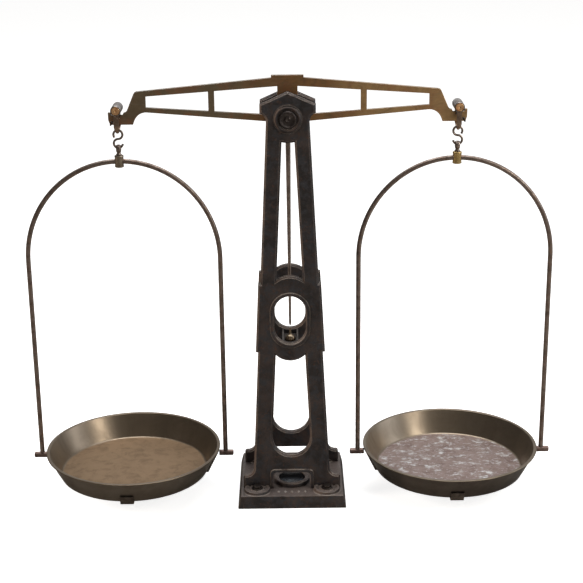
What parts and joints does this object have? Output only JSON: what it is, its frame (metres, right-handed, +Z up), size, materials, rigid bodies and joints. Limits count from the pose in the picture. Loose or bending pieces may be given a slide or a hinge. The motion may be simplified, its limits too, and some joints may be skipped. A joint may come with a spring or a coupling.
{
  "type": "equal arm balance scale",
  "caption": "Free-standing equal arm balance: pierced brass beam on a cast iron column, with two round pans in wire hangers.",
  "frame": {"origin": "middle of the base plate's underside, on the counter", "axes": "+X along the beam to the right pan, +Y from the front to the back, +Z up"},
  "size_m": [0.7158, 0.24, 0.5774],
  "materials": {
    "cast_iron": "dark brown oxidised cast iron, edges worn lighter",
    "beam_brass": "aged brass, golden to olive brown",
    "pan_brass": "worn grey-brown brass with stained floor",
    "dark_brass": "darkened brass",
    "brown_steel": "brown steel",
    "hard_steel": "ground hardened steel",
    "copper": "copper-coloured bearing metal",
    "level_glass": "clear glass"
  },
  "bodies": {
    "column": {"base_plate": "cast_iron", "front_frame": "cast_iron", "back_frame": "cast_iron", "front_bearing_block": "hard_steel", "back_bearing_block": "hard_steel", "front_bearing_stud": "brown_steel", "back_bearing_stud": "brown_steel", "front_left_bolt": "brown_steel", "front_right_bolt": "brown_steel", "back_left_bolt": "brown_steel", "back_right_bolt": "brown_steel", "level_case": "cast_iron", "level_glass": "level_glass", "index_bridge": "brown_steel", "index_pin": "beam_brass"},
    "beam": {"beam": "beam_brass", "centre_knife": "hard_steel", "pointer_socket": "beam_brass", "pointer": "brown_steel", "left_end_knife": "hard_steel", "left_keeper_pin": "brown_steel", "right_end_knife": "hard_steel", "right_keeper_pin": "brown_steel"},
    "left_shackle": {"left_shackle": "brown_steel", "left_shackle_front_plug": "copper", "left_shackle_back_plug": "copper"},
    "left_hook": {"left_s_hook": "brown_steel"},
    "left_eye": {"left_swivel_eye": "brown_steel"},
    "left_hanger": {"left_ferrule": "dark_brass", "left_hanger_wire": "brown_steel", "left_inner_stub_pin": "brown_steel", "left_outer_stub_pin": "brown_steel", "left_pan_cradle": "brown_steel"},
    "left_pan": {"left_pan": "pan_brass"},
    "right_shackle": {"right_shackle": "brown_steel", "right_shackle_front_plug": "copper", "right_shackle_back_plug": "copper"},
    "right_hook": {"right_s_hook": "brown_steel"},
    "right_eye": {"right_swivel_eye": "brown_steel"},
    "right_hanger": {"right_ferrule": "dark_brass", "right_hanger_wire": "brown_steel", "right_inner_stub_pin": "brown_steel", "right_outer_stub_pin": "brown_steel", "right_pan_cradle": "brown_steel"},
    "right_pan": {"right_pan": "pan_brass"}
  },
  "joints": [
    {"name": "beam_tilt", "type": "hinge", "parent": "column", "child": "beam", "pos_m": [0, 0, 0.533], "axis": [0, 1, 0], "range_deg": [-5, 5]},
    {"name": "left_shackle_swing", "type": "hinge", "parent": "beam", "child": "left_shackle", "pos_m": [-0.2194, 0, 0.531], "axis": [0, 1, 0], "range_deg": [-5, 5]},
    {"name": "left_hook_swing", "type": "hinge", "parent": "left_shackle", "child": "left_hook", "pos_m": [-0.2194, 0, 0.50645], "axis": [0, 1, 0], "range_deg": [-3, 3]},
    {"name": "left_eye_swing", "type": "hinge", "parent": "left_hook", "child": "left_eye", "pos_m": [-0.2194, 0, 0.48655], "axis": [1, 0, 0], "range_deg": [-10, 10]},
    {"name": "left_hanger_swivel", "type": "hinge", "parent": "left_eye", "child": "left_hanger", "pos_m": [-0.2194, 0, 0.4752], "axis": [0, 0, 1], "continuous": true},
    {"name": "left_pan_lift", "type": "slide", "parent": "left_hanger", "child": "left_pan", "axis": [0, 0, 1], "range_m": [0, 0.05]},
    {"name": "right_shackle_swing", "type": "hinge", "parent": "beam", "child": "right_shackle", "pos_m": [0.2194, 0, 0.531], "axis": [0, 1, 0], "range_deg": [-5, 5]},
    {"name": "right_hook_swing", "type": "hinge", "parent": "right_shackle", "child": "right_hook", "pos_m": [0.2194, 0, 0.50645], "axis": [0, 1, 0], "range_deg": [-3, 3]},
    {"name": "right_eye_swing", "type": "hinge", "parent": "right_hook", "child": "right_eye", "pos_m": [0.2194, 0, 0.48655], "axis": [1, 0, 0], "range_deg": [-10, 10]},
    {"name": "right_hanger_swivel", "type": "hinge", "parent": "right_eye", "child": "right_hanger", "pos_m": [0.2194, 0, 0.4752], "axis": [0, 0, 1], "continuous": true},
    {"name": "right_pan_lift", "type": "slide", "parent": "right_hanger", "child": "right_pan", "axis": [0, 0, 1], "range_m": [0, 0.05]}
  ],
  "couplings": [
    {"joint": "left_shackle_swing", "follows": "beam_tilt", "ratio": -1},
    {"joint": "right_shackle_swing", "follows": "beam_tilt", "ratio": -1}
  ]
}
